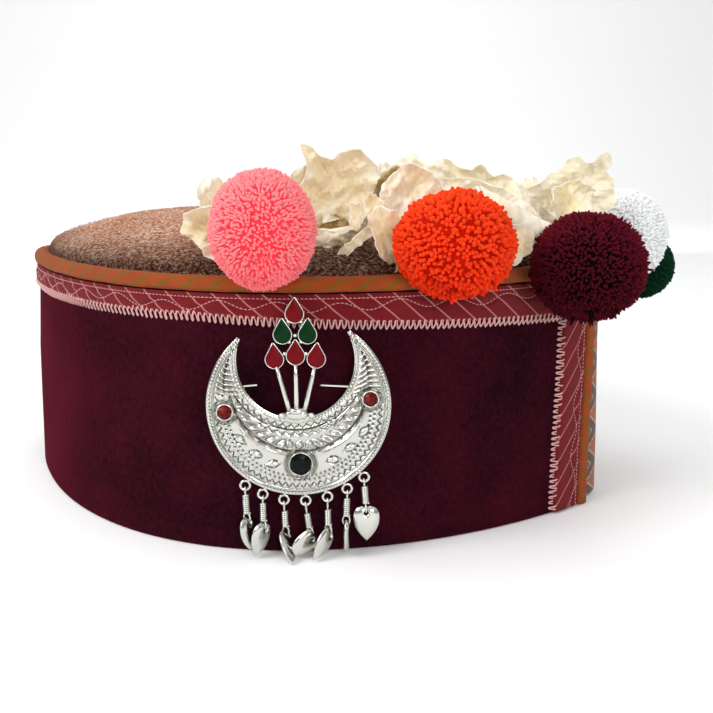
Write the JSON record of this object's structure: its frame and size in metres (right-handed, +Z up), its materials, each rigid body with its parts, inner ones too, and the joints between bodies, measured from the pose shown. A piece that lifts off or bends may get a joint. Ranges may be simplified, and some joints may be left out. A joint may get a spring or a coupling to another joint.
{
  "type": "himachali cap",
  "caption": "Flat-topped pillbox cap of wool with a folded velvet band, quilted trim, wool pompoms, papery flowers and a crescent brooch with hanging hearts.",
  "frame": {"origin": "middle of the part's bounding box, on the surface that the hem stands on", "axes": "+Z up through the crown, -Y towards the brooch on the front, +X towards the panel where the band ends"},
  "size_m": [0.2454, 0.1942, 0.1198],
  "materials": {
    "wool": "matt wool tweed",
    "velvet": "short pile",
    "red_trim": "satin stripes, quilted",
    "orange_binding": "satin stripes",
    "woven_panel": "woven pattern",
    "silver": "worn silver",
    "ruby_glass": "cut glass, foiled behind",
    "emerald_glass": "cut glass, foiled behind",
    "red_enamel": "glossy enamel",
    "green_enamel": "glossy enamel",
    "pink_yarn": "cut wool yarn",
    "orange_yarn": "cut wool yarn",
    "maroon_yarn": "cut wool yarn",
    "white_yarn": "cut wool yarn",
    "green_yarn": "cut wool yarn",
    "paper_wing": "thin papery seed wing"
  },
  "bodies": {
    "root": {"wool_wall": "wool", "crown": "wool", "velvet_band": "velvet", "edge_trim": "red_trim", "edge_binding": "orange_binding", "pattern_panel": "woven_panel", "brooch_body": "silver", "brooch_pin": "silver", "ruby_glass_left": "ruby_glass", "ruby_glass_right": "ruby_glass", "emerald_glass": "emerald_glass", "enamel_top": "red_enamel", "enamel_upper_left": "green_enamel", "enamel_upper_right": "green_enamel", "enamel_lower_left": "red_enamel", "enamel_lower_middle": "red_enamel", "enamel_lower_right": "red_enamel", "link_1": "silver", "heart_1": "silver", "link_2": "silver", "heart_2": "silver", "link_3": "silver", "heart_3": "silver", "link_4": "silver", "heart_4": "silver", "link_5": "silver", "heart_5": "silver", "link_6": "silver", "heart_6": "silver", "link_7": "silver", "heart_7": "silver", "pompom_pink": "pink_yarn", "pompom_orange": "orange_yarn", "pompom_maroon": "maroon_yarn", "pompom_white": "white_yarn", "pompom_green": "green_yarn", "flower_far_left": "paper_wing", "flower_left": "paper_wing", "flower_middle": "paper_wing", "flower_behind_orange": "paper_wing", "flower_right": "paper_wing", "flower_behind_white": "paper_wing"}
  },
  "joints": []
}
